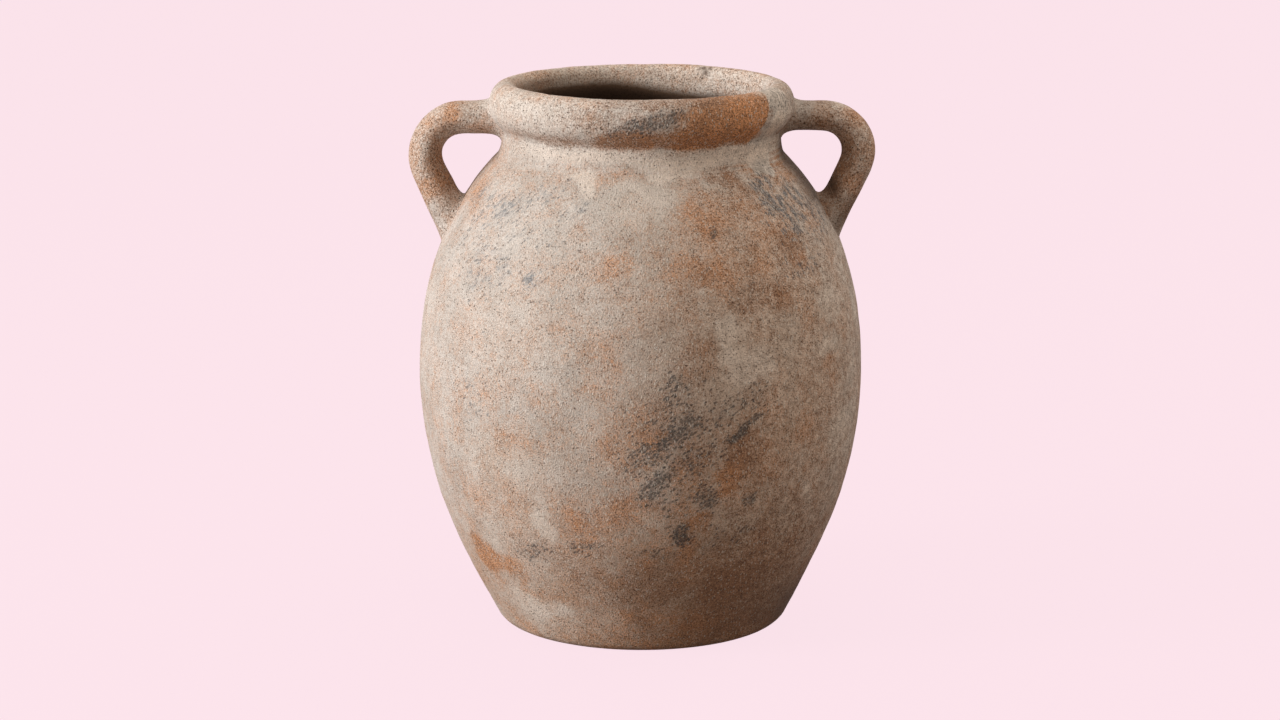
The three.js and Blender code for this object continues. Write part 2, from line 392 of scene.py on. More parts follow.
LEFT_EAR = Ear(
    side=-1,
    reach=LEFT_REACH,
    bend=26 * MM,
    top_height=355.3 * MM,
    top_thick=22 * MM,
    bend_thick=23.5 * MM,
    leg_thick=25 * MM,
    lower_spread=(1 * MM, 4 * MM),
)
RIGHT_EAR = Ear(
    side=1,
    reach=RIGHT_REACH + RIGHT_STRETCH,
    bend=24.5 * MM,
    top_height=356.4 * MM,
    top_thick=20.5 * MM,
    bend_thick=23.5 * MM,
    leg_thick=22.5 * MM,
    lower_spread=(1 * MM, 6 * MM),
)
UPPER_SPREAD = (2.5 * MM, 6 * MM)
FLARE_STEPS = [1, 0.72, 0.5, 0.32, 0.18, 0.07, 0]
THICKNESS_PLACES = [0.15, 0.5, 0.85]
STRAP_CLEAR = 1.25 * LUTE_LENGTH
ROOT_REACH = 2 * SLANT_LENGTH
SEARCH_REACH = 60 * MM
SEARCH_HALVINGS = 24


def strap_path(ear):
    """Stations of a strap's middle line from the collar to the shoulder, each a place and a heading."""
    centre = Vector((ear.reach - ear.bend_thick / 2 - ear.bend, ear.top_height - ear.bend))
    leg_turn = HANDLE_LEAN - 90
    leg = heading(HANDLE_LEAN - 180)
    stations = []
    run = COLLAR_RADIUS - ROOT_DEPTH
    while run < centre.x:
        stations.append((Vector((run, ear.top_height)), Vector((1, 0))))
        run += STRAP_STEP
    for turn in np.linspace(90, leg_turn, round(ear.bend * math.radians(90 - leg_turn) / STRAP_STEP)):
        stations.append((centre + heading(turn) * ear.bend, heading(turn - 90)))
    place = centre + heading(leg_turn) * ear.bend
    while place.x > wall_radius(place.y) - ROOT_DEPTH:
        place = place + leg * STRAP_STEP
        stations.append((place, leg))
    return stations


def ring_point(ear, place, along, turn, thick, grown):
    """A point of the strap's skin: turn 0 is the outside of the bend."""
    outward = Vector((-along.y, along.x))
    thick_reach = (thick / 2 / ROUND_CAGE + grown) * math.cos(turn)
    wide_reach = (HANDLE_WIDE / 2 / ROUND_CAGE + grown) * math.sin(turn)
    flat = place + outward * thick_reach
    return Vector((ear.side * flat.x, wide_reach, flat.y))


def meet_wall(ear, point, along):
    """Where a line along the strap's heading, through a point of its skin, meets the pot's wall."""
    direction = Vector((ear.side * along.x, 0, along.y))
    low, high = -SEARCH_REACH, SEARCH_REACH
    for _ in range(SEARCH_HALVINGS):
        middle = (low + high) / 2
        place = point + direction * middle
        is_outside = math.hypot(place.x, place.y) > wall_radius(place.z)
        low, high = (middle, high) if is_outside else (low, middle)
    return point + direction * low


RING_TURNS = [2 * math.pi * i / STRAP_SIDES for i in range(STRAP_SIDES)]


def flare_ring(ear, root, distance):
    """A ring round a root that lies at a distance from the wall and follows its face."""
    back = Vector((ear.side * root.into_wall.x, 0, root.into_wall.y))
    nearness = max(0, 1 - max(distance, 0) / LUTE_LENGTH)
    flare = 1 - math.sqrt(1 - nearness**2)
    ring = []
    for turn in RING_TURNS:
        inner_share = (1 - math.cos(turn)) / 2
        full = root.spread[0] * (1 - inner_share) + root.spread[1] * inner_share
        skin = ring_point(ear, root.place, root.along, turn, root.thick, full * flare)
        ring.append(meet_wall(ear, skin, root.into_wall) - back * distance)
    return ring


def strap_rings(ear):
    """Rings of the strap's skin from root to root, which slant and flare to the wall at each root."""
    stations = strap_path(ear)
    lengths = np.cumsum([0] + [(b[0] - a[0]).length for a, b in zip(stations, stations[1:])])
    top, bottom = stations[0], stations[-1]
    upper = Root(top[0], top[1], -top[1], ear.top_thick, UPPER_SPREAD)
    lower = Root(bottom[0], bottom[1], bottom[1], ear.leg_thick, ear.lower_spread)
    wall_places = []
    for root in (upper, lower):
        hit = meet_wall(ear, Vector((ear.side * root.place.x, 0, root.place.y)), root.into_wall)
        wall_places.append(Vector((ear.side * hit.x, hit.z)))
    rings = [flare_ring(ear, upper, -SUNK)]
    rings += [flare_ring(ear, upper, LUTE_LENGTH * share) for share in reversed(FLARE_STEPS)]
    for (place, along), length in zip(stations, lengths):
        distances = [(hit - place).dot(root.into_wall) for root, hit in zip((upper, lower), wall_places)]
        if min(distances) < STRAP_CLEAR:
            continue
        share = length / lengths[-1]
        thick = float(np.interp(share, THICKNESS_PLACES, [ear.top_thick, ear.bend_thick, ear.leg_thick]))
        ring = [ring_point(ear, place, along, turn, thick, 0) for turn in RING_TURNS]
        for root, distance in zip((upper, lower), distances):
            if distance < SLANT_LENGTH and (place - root.place).length < ROOT_REACH:
                slant = min(1, (SLANT_LENGTH - distance) / (SLANT_LENGTH - LUTE_LENGTH))
                ring = [a.lerp(b, slant) for a, b in zip(ring, flare_ring(ear, root, distance))]
        rings.append(ring)
    rings += [flare_ring(ear, lower, LUTE_LENGTH * share) for share in FLARE_STEPS]
    rings.append(flare_ring(ear, lower, -SUNK))
    return rings


def draw_rings(name, rings):
    """A skin through rings of points, made by extruding the first ring along the others."""
    deselect_all()
    bpy.ops.mesh.primitive_circle_add(vertices=STRAP_SIDES, radius=HANDLE_WIDE, location=(0, 0, 0))
    piece = bpy.context.object
    piece.name = piece.data.name = name
    for vertex, point in zip(piece.data.vertices, rings[0]):
        vertex.co = point
    bpy.ops.object.mode_set(mode="EDIT")
    bpy.ops.mesh.select_all(action="SELECT")
    for ring in rings[1:]:
        bpy.ops.mesh.extrude_region_move(TRANSFORM_OT_translate={"value": (0, 0, 0)})
        mesh = bmesh.from_edit_mesh(piece.data)
        mesh.verts.index_update()
        for vertex in mesh.verts:
            if vertex.select:
                vertex.co = ring[vertex.index % STRAP_SIDES]
        bmesh.update_edit_mesh(piece.data)
    face_outwards()
    bpy.ops.object.mode_set(mode="OBJECT")
    return piece


def pull_handle(hand, ear):
    rings = strap_rings(ear)
    strap = draw_rings(hand + "_strap", rings)
    first_free = len(FLARE_STEPS)
    last_free = len(rings) - len(FLARE_STEPS) - 1
    names = [hand + "_upper_lute", hand + "_handle", hand + "_lower_lute"]

    def part_of(face):
        row = min(face.vertices) // STRAP_SIDES
        return int(np.searchsorted([first_free, last_free], row, "right"))

    mark_parts(strap, names, part_of)
    skin = strap.modifiers.new("skin", "SUBSURF")
    skin.levels = skin.render_levels = SKIN_LEVEL
    apply_modifiers(strap)
    make_uneven(strap)
    made = separate_parts(strap)
    for part in made.values():
        select_border(part, lambda middle: True)
        bpy.ops.mesh.fill_holes(sides=0)
        bpy.ops.object.mode_set(mode="OBJECT")
        finish_mesh(part)
    return made


parts.update(pull_handle("left", LEFT_EAR))
parts.update(pull_handle("right", RIGHT_EAR))


# Coil in the inside corner of floor and wall

FLOOR_COIL = 15 * MM
COIL_SLIP = 0.3 * MM
COIL_HOLLOW = 0.6
COIL_STEP = 2 * MM
COIL_ROUND_STEPS = 192


def press_floor_coil():
    inner_foot = WALL_FOOT.x - WALL / FOOT_HEADING.y
    corner = Vector((inner_foot - COIL_SLIP / FOOT_HEADING.y, FLOOR_HEIGHT + COIL_SLIP))
    on_wall = corner + FOOT_HEADING * FLOOR_COIL
    on_floor = corner - Vector((FLOOR_COIL, 0))
    pulls = [end.lerp(corner, COIL_HOLLOW) for end in (on_wall, on_floor)]
    face = curve(on_wall, *pulls, on_floor, COIL_STEP)
    coil = draw_line("floor_coil", [corner, on_wall] + face + [corner])
    spin_round(coil, COIL_ROUND_STEPS)
    finish_mesh(coil)
    return coil


parts["floor_coil"] = press_floor_coil()


# Last touches to the shape: chips in the rim, and a slight sag to the right

Chip = namedtuple("Chip", "place reach depth")

RIM_CHIPS = [
    Chip(Vector((44.7, 73.5, 373)) * MM, 3 * MM, 1.6 * MM),
    Chip(Vector((48, 72, 376)) * MM, 2.2 * MM, 1.1 * MM),
    Chip(Vector((34, -84, 377)) * MM, 3 * MM, 1.3 * MM),
]
CHIP_LIMIT = 2
CHIP_STEEPNESS = 4
SAG = 0.8 * MM


def vertex_places(part):
    places = np.empty(3 * len(part.data.vertices), dtype=np.float32)
    part.data.vertices.foreach_get("co", places)
    return places.reshape(-1, 3)


def chip_away(part, chips):
    for chip in chips:
        for vertex in part.data.vertices:
            distance = (vertex.co - chip.place).length
            if distance < CHIP_LIMIT * chip.reach:
                hollow = chip.depth * math.exp(-((distance / chip.reach) ** CHIP_STEEPNESS))
                vertex.co = vertex.co - vertex.normal * hollow


def let_sag(part):
    """Moves the foot and the rim a little to the right of the belly."""
    places = vertex_places(part)
    places[:, 0] += SAG * ((places[:, 2] - BELLY_HEIGHT) / BELLY_HEIGHT) ** 2
    part.data.vertices.foreach_set("co", places.ravel())
    part.data.update()


chip_away(parts["rim_collar"], RIM_CHIPS)
for part in parts.values():
    let_sag(part)


# Painted layers: where film has worn off, where it lies thick, and where smoke marked the pot.
# Dabs, spots, cracks and stretches are in millimetres. A dab lies at a turn to the right of the
# front, in degrees, and a height. Wide and tall are half its size, lean is how far it rises to the
# right, in degrees, and crisp is how sharp its edge is.

Dab = namedtuple("Dab", "turn height wide tall lean strength crisp", defaults=(1.5,))

BARE_DABS = [
    # Broad thin film
    Dab(10, 40, 220, 110, 0, 0.55, 1),
    Dab(40, 50, 110, 80, 0, 0.45, 1),
    Dab(30, 140, 120, 90, 0, 0.25, 1),
    Dab(28, 280, 95, 75, 0, 0.35, 1),
    Dab(-35, 90, 75, 60, 0, 0.15, 1),
    Dab(-78, 316, 46, 34, 0, 0.45, 1.2),
    Dab(-66, 292, 26, 14, 40, 0.18),
    Dab(-38, 298, 70, 46, 0, -0.22, 1),
    # Rim and neck
    Dab(41, 366, 46, 24, 0, 1.15, 2.5),
    Dab(27, 368, 36, 21, 0, 0.8),
    Dab(59.5, 357, 38, 16, 64, -1.4, 6),
    Dab(47, 353, 18, 5, 0, 0.9, 3),
    Dab(14, 354, 66, 9, 0, 0.9),
    # Under the collar: bare clay and painted shade of its underside
    Dab(-8, 352, 28, 9, 0, 0.7),
    Dab(-38, 351, 60, 5, 0, 0.5),
    Dab(-30, 377, 90, 4, 0, 0.15),
    Dab(-60, 356, 40, 20, 0, 0.2, 1),
    Dab(-8, 365, 60, 14, 0, 0.4, 1.2),
    Dab(30, 349, 40, 6, 0, 0.8),
    Dab(8, 379, 60, 6, 0, 0.3),
    Dab(35, 326, 14, 9, -30, 0.6),
    Dab(60, 328, 32, 10, 0, 0.5),
    Dab(-7, 328, 46, 4, 0, 0.3),
    # Shoulder
    Dab(21, 305, 34, 24, 0, 0.35),
    Dab(38, 302, 20, 28, 0, 0.2),
    Dab(60, 304, 50, 26, 0, 0.12),
    Dab(50, 279, 28, 17, -20, 0.45),
    Dab(14, 270, 24, 17, 0, 0.4),
    Dab(27, 278, 24, 18, 0, 0.1),
    Dab(-6, 272, 16, 15, 0, 0.35),
    Dab(35, 251, 30, 17, 0, 0.5),
    Dab(13, 213, 24, 24, 0, 0.35),
    Dab(-10, 215, 18, 34, 0, 0.25),
    # Belly
    Dab(57, 193, 16, 12, 0, 0.35),
    Dab(48, 168, 34, 22, 0, 0.05),
    Dab(-2, 168, 24, 44, 0, 0.3),
    Dab(8, 172, 34, 36, 0, 0.25),
    Dab(-30, 160, 44, 22, 0, 0.15),
    Dab(27, 152, 26, 20, 20, 0.6),
    Dab(12, 142, 20, 24, 0, 0.45),
    Dab(23, 134, 14, 20, -10, 0.5),
    # Foot
    Dab(-12, 108, 30, 22, 0, 0.25),
    Dab(-2, 112, 24, 18, 0, 0.35),
    Dab(-40, 96, 44, 22, 0, 0.15),
    Dab(16, 106, 8, 14, -20, 0.6),
    Dab(13, 84, 10, 14, -10, 0.45),
    Dab(5, 60, 34, 30, 0, 0.15),
    Dab(-52, 62, 32, 18, -15, 0.75),
    Dab(-42, 55, 16, 11, -20, 0.4),
    Dab(28, 45, 30, 20, 0, 0.5),
    Dab(40, 14, 80, 22, 0, 0.3),
    Dab(5, 20, 44, 20, 0, 0.15),
    # Back
    Dab(148, 262, 50, 38, 10, 0.4),
    Dab(118, 190, 46, 50, 0, 0.3),
    Dab(-145, 120, 66, 40, -10, 0.45),
    Dab(-118, 292, 40, 24, 15, 0.35),
    Dab(140, 70, 60, 34, 0, 0.45),
    Dab(-140, 364, 40, 14, 0, 0.5),
]
BROWN_DABS = [
    # Under the collar: brown clay and painted shade of its underside
    Dab(-9, 352, 24, 10, 0, 0.5),
    Dab(-38, 351, 60, 6, 0, 0.7),
    Dab(44, 364, 32, 22, 0, -0.25),
    Dab(-10, 366, 60, 12, 0, 0.5),
    Dab(35, 326, 20, 12, 0, 0.6),
    Dab(50, 280, 30, 20, 0, 0.4),
    Dab(35, 252, 34, 20, 0, 0.5),
    Dab(27, 152, 26, 24, 0, 0.5),
    Dab(45, 100, 80, 56, 0, 0.35, 1),
    Dab(40, 50, 120, 85, 0, 0.9, 1),
    Dab(10, 379, 70, 7, 0, 0.7),
    Dab(-5, 55, 56, 32, 0, 0.5),
    Dab(13, 205, 70, 80, 0, 0.6, 1.2),
    Dab(25, 92, 28, 26, 0, 0.4),
    Dab(28, 45, 30, 20, 0, 0.4, 1.2),
    Dab(-30, 75, 50, 24, 0, 0.4, 1),
]
FILM_DABS = [
    # Neck and rim
    Dab(20, 341, 170, 8, 0, 0.7),
    Dab(44, 339, 46, 10, 0, 0.7),
    Dab(-3, 315, 34, 22, 0, 0.35),
    Dab(-35, 341, 80, 8, 0, 0.4),
    Dab(16, 334, 36, 9, 0, 1.1),
    Dab(8, 322, 40, 9, 0, 0.3),
    Dab(-22, 326, 16, 8, 0, 1),
    Dab(61, 356, 13, 11, 0, 1.1),
    Dab(66, 362, 26, 18, 54, 0.6),
    Dab(-52, 364, 80, 22, 0, 0.35),
    Dab(46, 377, 42, 9, 0, 0.5),
    # Belly
    Dab(-35, 240, 90, 80, 0, 0.25, 1),
    Dab(22, 226, 12, 26, 0, 0.8),
    Dab(28, 206, 30, 18, 0, 0.8),
    Dab(58, 210, 22, 12, 0, 0.6),
    Dab(60, 238, 24, 16, 0, 0.4),
    Dab(64, 150, 24, 24, 0, 0.55),
    Dab(-42, 142, 50, 20, 0, 0.35),
    # Foot
    Dab(50, 112, 32, 7, -65, 0.8),
    Dab(3, 107, 14, 8, 0, 0.7),
    Dab(-26, 96, 11, 22, 10, 0.8),
    Dab(-15, 45, 20, 12, 0, 0.6),
    Dab(-36, 31, 44, 12, 0, 0.7),
    Dab(-20, 22, 90, 24, 0, 0.5),
    Dab(-40, 80, 66, 56, 0, 0.5, 1),
    # Back
    Dab(-148, 292, 60, 30, 0, 0.5),
    Dab(146, 140, 50, 30, 0, 0.6),
    Dab(-112, 180, 44, 44, 0, 0.4),
]
SOOT_DABS = [
    # Rim
    Dab(7, 368, 28, 8, 12, 0.9),
    Dab(-4, 360, 22, 8, 10, 0.7),
    Dab(68, 372, 44, 9, 0, 0.25),
    # Shoulder crack
    Dab(22.3, 295, 5, 4, 30, 1),
    # Belly
    Dab(9, 150, 50, 72, 0, 0.38, 1),
    Dab(9, 195, 12, 18, 30, 0.4),
    Dab(9, 168, 24, 11, 30, 0.7),
    Dab(2, 154, 20, 12, 30, 0.6),
    Dab(12, 146, 16, 11, 30, 0.25),
    Dab(3, 131, 22, 11, 20, 0.65),
    Dab(17, 123, 13, 9, 0, 1),
    Dab(27, 168, 26, 4, 27, 1.6),
    Dab(25, 163, 12, 5, 15, 1.2),
    Dab(25, 182, 30, 10, 20, 0.4),
    Dab(28, 117, 7, 6, 0, 1.2),
    Dab(12, 96, 9, 9, 20, 2.4),
    Dab(24, 90, 24, 22, 0, 0.3, 1.2),
    Dab(5, 81, 20, 7, 0, 0.5),
    Dab(-15, 81, 16, 9, 0, 0.45),
    Dab(-34, 72, 24, 8, 10, 0.4),
    # Back
    Dab(150, 178, 40, 20, 30, 0.6),
    Dab(-132, 226, 34, 14, 30, 0.5),
    Dab(116, 108, 14, 10, 0, 0.9),
]
ASH_DABS = [
    # Left shoulder
    Dab(-45, 285, 90, 60, 0, 0.25, 1),
    Dab(-70, 308, 18, 11, 0, 0.8),
    Dab(-40, 314, 40, 12, 10, 0.5),
    Dab(-22, 310, 4, 10, 0, 0.9),
    Dab(-54, 300, 30, 12, 15, 0.7),
    Dab(-46, 270, 26, 13, 0, 0.5),
    Dab(-30, 262, 11, 9, 0, 2),
    Dab(-48, 256, 20, 14, 0, 0.4),
    Dab(-50, 182, 32, 22, 0, 0.25),
    # Right shoulder
    Dab(60, 304, 64, 34, 0, 0.7, 1),
    Dab(47, 315, 20, 12, -50, 1.3),
    Dab(56, 306, 34, 13, -40, 1.3),
    Dab(66, 300, 32, 13, -45, 1.3),
    Dab(50, 292, 20, 7, -35, 0.8),
    Dab(55, 268, 40, 14, 0, 0.25),
]
TAN_DABS = [
    Dab(30, 170, 150, 220, 0, 0.8, 1.2),
    Dab(0, 30, 260, 100, 0, 0.8, 1.2),
    Dab(-30, 130, 80, 60, 0, 0.4, 1),
]
# Painted shade: beside the handle holes, the collar's shadow by the right handle's top, and the shaded
# lower right of the foot
SHADE_DABS = [
    Dab(86, 322, 40, 36, 0, 0.75),
    Dab(80, 16, 80, 50, 0, 0.8, 1.2),
    Dab(40, 30, 90, 60, 0, 0.22, 1),
    Dab(88, 360, 30, 20, 0, 0.5, 1.2),
    Dab(-88, 322, 24, 24, 0, 0.3, 1.2),
]
PAINTED = {
    "bare": BARE_DABS,
    "brown": BROWN_DABS,
    "film": FILM_DABS,
    "tan": TAN_DABS,
    "soot": SOOT_DABS,
    "ash": ASH_DABS,
    # Dirt in the rim crack, and painted shade in the mouth, by the handles and at the lower right
    "dirt_and_shade": SHADE_DABS,
}

Wandering = namedtuple("Wandering", "size reach")

WANDERINGS = [
    Wandering(55 * MM, 5 * MM),
    Wandering(20 * MM, 8 * MM),
    Wandering(7 * MM, 3.5 * MM),
]
WANDER_SEED = 1
RIM_STEADINESS = 0.65

# Places along X, Y or Z between which something comes in, from none of it to all of it
STEADY_RIM = (325, 340)
SUNNY_SIDE = (-30, 40)
LEFT_WALL = (-20, -70)
UNDER_LIP = (378, 372)
WELL_INSIDE = (330, 290)
FAR_SIDE = (0, 40)
RIM_FACE = (352, 367)
WORN_RIM = (335, 347)
SANDY_SHADED_SIDE = (0, 70)
NECK_LINES = (318, 334)
BELOW_RIM = (352, 348)
OPEN_END = (110, 134)


def smooth(share):
    share = np.clip(share, 0, 1)
    return share * share * (3 - 2 * share)


def fade_in(values, start, end):
    """0 before the start, 1 past the end and smooth between them."""
    return smooth((values - start) / (end - start))


def wandering_places(part):
    """The part's vertices in millimetres, each moved a little aside, so that painted edges wander."""
    places = vertex_places(part).astype(float)
    aside = np.zeros_like(places)
    for size, reach in WANDERINGS:
        aside += reach * np.array([noise.noise_vector(Vector(place) / size) for place in places])
    on_rim = fade_in(places[:, 2] / MM, *STEADY_RIM)
    return (places + aside * (1 - RIM_STEADINESS * on_rim)[:, None]) / MM


def dab_values(dab, places):
    """How much of a dab lies at each place: full in its middle and soft towards its edge."""
    turn = np.arctan2(places[:, 0], -places[:, 1]) - math.radians(dab.turn)
    across = turn * wall_radius(dab.height * MM) / MM
    up = places[:, 2] - dab.height
    lean = math.radians(dab.lean)
    along = (across * math.cos(lean) + up * math.sin(lean)) / dab.wide
    over = (up * math.cos(lean) - across * math.sin(lean)) / dab.tall
    return dab.strength * smooth(dab.crisp * (1 - np.hypot(along, over)))


def paint_layer(part, layer, values):
    attribute = part.data.attributes.new(layer, "FLOAT", "POINT")
    attribute.data.foreach_set("value", values.astype(np.float32))


# Body: dabs outside, dark clay and painted shade in the mouth, a crack in the far lip

Crack = namedtuple("Crack", "place reach")

RIM_CRACK = [
    Crack((45, 77.5, 379.5), 2.8),
    Crack((49.5, 76, 379.3), 2.4),
    Crack((41.5, 78, 379.3), 2.2),
    Crack((46, 75, 377), 2.6),
    Crack((46.5, 73.8, 374), 2),
]
CRACK_DIRT = 0.8
CRACK_CRISP = 1.6
# Dark clay and painted shade in the mouth: it starts lower on the sunny side, is painted shade on the
# shaded left wall, and is lighter well inside
MOUTH_DIRT_AND_SHADE_TOP = 374.5
SUNNY_DROP = 8
MOUTH_DIRT_AND_SHADE_DEPTH = 11
DEEP_DIRT_AND_SHADE_DEPTH = 18
DEEP_DIRT_AND_SHADE = 0.6
LEFT_WALL_SHADE = 0.65
LIGHTER_WELL_INSIDE = 0.85
FAR_RIM_PAINT = {"bare": 0.35, "film": 0.5}
MOST_PAINT = 1.6
SKIN_DEPTH = 5
SLAB_EDGE_TOP = FLOOR_HEIGHT / MM - 1
# Coarser grain on the shaded right side: partly sand, partly painted relief shade
SANDY_SHADED_COARSENESS = 0.7
LINES_ON_RIM = 0.3
LINES_ON_LEFT = 0.25


def mouth_dirt_and_shade(x, z):
    """Dark clay and painted shade on the inside, from under the lip, lower on the sunny side, painted
    shade on the shaded left wall, and thinner well inside.
    """
    depth = MOUTH_DIRT_AND_SHADE_TOP - SUNNY_DROP * fade_in(x, *SUNNY_SIDE) - z
    dirt_and_shade = smooth(depth / MOUTH_DIRT_AND_SHADE_DEPTH) + DEEP_DIRT_AND_SHADE * smooth(depth / DEEP_DIRT_AND_SHADE_DEPTH)
    left_wall = fade_in(x, *LEFT_WALL) * fade_in(z, *UNDER_LIP)
    dirt_and_shade = np.maximum(dirt_and_shade, LEFT_WALL_SHADE * left_wall)
    return dirt_and_shade * (1 - LIGHTER_WELL_INSIDE * fade_in(z, *WELL_INSIDE))


def crack_dirt(places):
    dirt_and_shade = np.zeros(len(places))
    for crack in RIM_CRACK:
        distance = np.linalg.norm(places - np.array(crack.place), axis=1)
        dirt_and_shade = np.maximum(dirt_and_shade, CRACK_DIRT * smooth(CRACK_CRISP * (1 - distance / crack.reach)))
    return dirt_and_shade


def paint_body(part):
    """All layers of a round part, with coarse sand and turning lines towards the rim, and coarser grain
    and stronger turning lines on the shaded right, partly painted relief shade.
    """
    wandering = wandering_places(part)
    places = vertex_places(part) / MM
    x, y, z = places.T
    is_outside = (z < SLAB_EDGE_TOP) | (np.hypot(x, y) > wall_radius(z * MM) / MM - SKIN_DEPTH)
    far_rim = fade_in(y, *FAR_SIDE) * fade_in(z, *RIM_FACE)
    for layer, dabs in PAINTED.items():
        values = sum(dab_values(dab, wandering) for dab in dabs)
        # The dirt layer holds painted shade outside from the shade dabs and inside in the mouth, and dirt
        # in the rim crack
        if layer == "dirt_and_shade":
            values = np.where(is_outside, values, mouth_dirt_and_shade(x, z))
            values = np.maximum(values, crack_dirt(places))
        else:
            values = values * is_outside + FAR_RIM_PAINT.get(layer, 0) * far_rim
        paint_layer(part, layer, np.minimum(values, MOST_PAINT))
    sandy_shaded_side = fade_in(x, *SANDY_SHADED_SIDE)
    paint_layer(part, "coarse", np.maximum(fade_in(z, *WORN_RIM), SANDY_SHADED_COARSENESS * sandy_shaded_side))
    lines = fade_in(z, *NECK_LINES) * (LINES_ON_RIM + (1 - LINES_ON_RIM) * fade_in(z, *BELOW_RIM))
    paint_layer(part, "lines", lines * (LINES_ON_LEFT + (1 - LINES_ON_LEFT) * sandy_shaded_side))


# Handles: bare spots, and painted shade where they face the hole, and at the top and lower leg of the
# right handle

Spot = namedtuple("Spot", "x z reach strength")

HANDLE_BARE = [
    Spot(-131, 358, 9, 0.6),
    Spot(-149, 349, 12, 0.2),
    Spot(-158, 330, 11, 0.15),
    Spot(-146, 308, 12, 0.35),
    Spot(146, 357, 12, 0.25),
    Spot(160, 330, 15, 0.12),
    Spot(152, 312, 13, 0.35),
    Spot(140, 296, 13, 0.2),
    Spot(124, 357, 12, 0.3),
]
# Painted shade: the collar's shadow on the right handle's top, and shade on its lower leg
HANDLE_SHADE = [
    Spot(116, 360, 21, 0.35),
    Spot(146, 290, 22.5, 0.6),
]
# Painted shade in the crook of a handle and where its skin faces the hole, growing away from the collar
CROOK_SHADE = Spot(128, 298, 27, 0.5)
OPEN_END_SHADE = 0.5
SPOT_CRISP = 1.5
HANDLE_HOLE = Vector((122, 324))
THIN_FILM = 0.25
SHELTERED_BARE = 0.5
SHELTER_SPREAD = 0.2
ROOT_FILM_REACH = 14
LEFT_ROOT_FILM = 0.7
RIGHT_ROOT_FILM = 0.3


def spot_values(spots, places):
    values = np.zeros(len(places))
    for spot in spots:
        distance = np.hypot(places[:, 0] - spot.x, places[:, 2] - spot.z)
        values += spot.strength * smooth(SPOT_CRISP * (1 - distance / spot.reach))
    return values


def sheltered_share(part, x, z):
    """1 where a handle's skin faces its hole, and 0 where it faces away or down."""
    normals = np.array([vertex.normal for vertex in part.data.vertices])
    to_hole = np.stack([np.sign(x) * HANDLE_HOLE.x - x, HANDLE_HOLE.y - z], 1)
    facing = normals[:, 0] * to_hole[:, 0] + normals[:, 2] * to_hole[:, 1]
    return smooth(SHELTER_SPREAD + facing / np.hypot(*to_hole.T)) * smooth(1 + normals[:, 2])


def paint_handle(part):
    places = wandering_places(part)
    x, y, z = places.T
    sheltered = sheltered_share(part, x, z)
    gap = np.hypot(x, y) - wall_radius(z * MM) / MM
    root_film = np.where(x < 0, LEFT_ROOT_FILM, RIGHT_ROOT_FILM)
    clear_of_wall = 1 - root_film * smooth(1 - gap / ROOT_FILM_REACH)
    bare = spot_values(HANDLE_BARE, places) + THIN_FILM + SHELTERED_BARE * sheltered
    # Painted shade where the handle faces its hole; the dirt layer of a handle holds only painted shade
    hole_shade = OPEN_END_SHADE * fade_in(np.abs(x), *OPEN_END) + spot_values([CROOK_SHADE], places)
    paint_layer(part, "coarse", np.ones(len(places)))
    paint_layer(part, "bare", bare * clear_of_wall)
    paint_layer(part, "dirt_and_shade", sheltered * clear_of_wall * hole_shade + spot_values(HANDLE_SHADE, places))


noise.seed_set(WANDER_SEED)
for name, part in parts.items():
    if name in ROUND_BODY:
        paint_body(part)
    elif name != "floor_coil":
        paint_handle(part)


# Clay materials

TERRACOTTA = (0.63, 0.31, 0.155, 1)
BROWN_CLAY = (0.36, 0.21, 0.135, 1)
FILM = (0.635, 0.58, 0.535, 1)
GREY_FILM = (0.52, 0.475, 0.435, 1)
PALE_FILM = (0.79, 0.685, 0.60, 1)
TAN_FILM = (0.595, 0.445, 0.34, 1)
SOOT_HAZE = (0.16, 0.16, 0.155, 1)
SOOT_SPECK = (0.06, 0.062, 0.064, 1)
ASH_HAZE = (0.29, 0.315, 0.34, 1)
ASH_SPECK = (0.12, 0.13, 0.145, 1)
PIT = (0.15, 0.10, 0.07, 1)
WHITE_GRAIN = (0.84, 0.79, 0.73, 1)
# Dark brown for dirt and painted shade, and near black for painted shade deep in the mouth
DIRT_AND_SHADE = (0.105, 0.065, 0.043, 1)
MOUTH_SHADE = (0.035, 0.02, 0.012, 1)

Pattern = namedtuple("Pattern", "size detail roughness", defaults=(2, 0.5))
Specks = namedtuple("Specks", "size reach")

BROAD = Pattern(95 * MM)
PATCHES = Pattern(21 * MM, 3)
MOTTLING = Pattern(5 * MM, 3, 0.6)
STIPPLE = Pattern(1.1 * MM, 1, 0.6)
FINE_SAND = Pattern(0.9 * MM, 1, 0.6)
BRUSHING = Pattern(1.2 * MM, 2, 0.6)
BROWN_PATCHES = Pattern(17 * MM, 3)
FILM_CLOUDS = Pattern(30 * MM, 4, 0.6)
TURNING = Pattern(2.2 * MM, 2, 0.6)
RISING_STREAKS = Pattern(3.5 * MM)
FALLING_STREAKS = Pattern(5 * MM, 3, 0.6)
RISING_ASH = Specks(1.5 * MM, 0.75)
FALLING_ASH = Specks(1.5 * MM, 0.8)
SOOT = Specks(1.35 * MM, 0.8)
WHITE_SAND = Specks(1.2 * MM, 0.5)
PITS = Specks(1.1 * MM, 0.5)
FAINTEST_SPECK = 0.4
PATTERN_MIDDLE = 0.5

# How far patterns are drawn out along X, Y and Z
DRAWN_UP = (1, 1, 6)
DRAWN_UP_A_LITTLE = (1, 1, 2)
DRAWN_ROUND = (40, 40, 1)

# Streaks on the face laid flat: how far they rise to the right, in degrees
UNROLLED_RADIUS = 150 * MM
RISING = 33
FALLING = -50

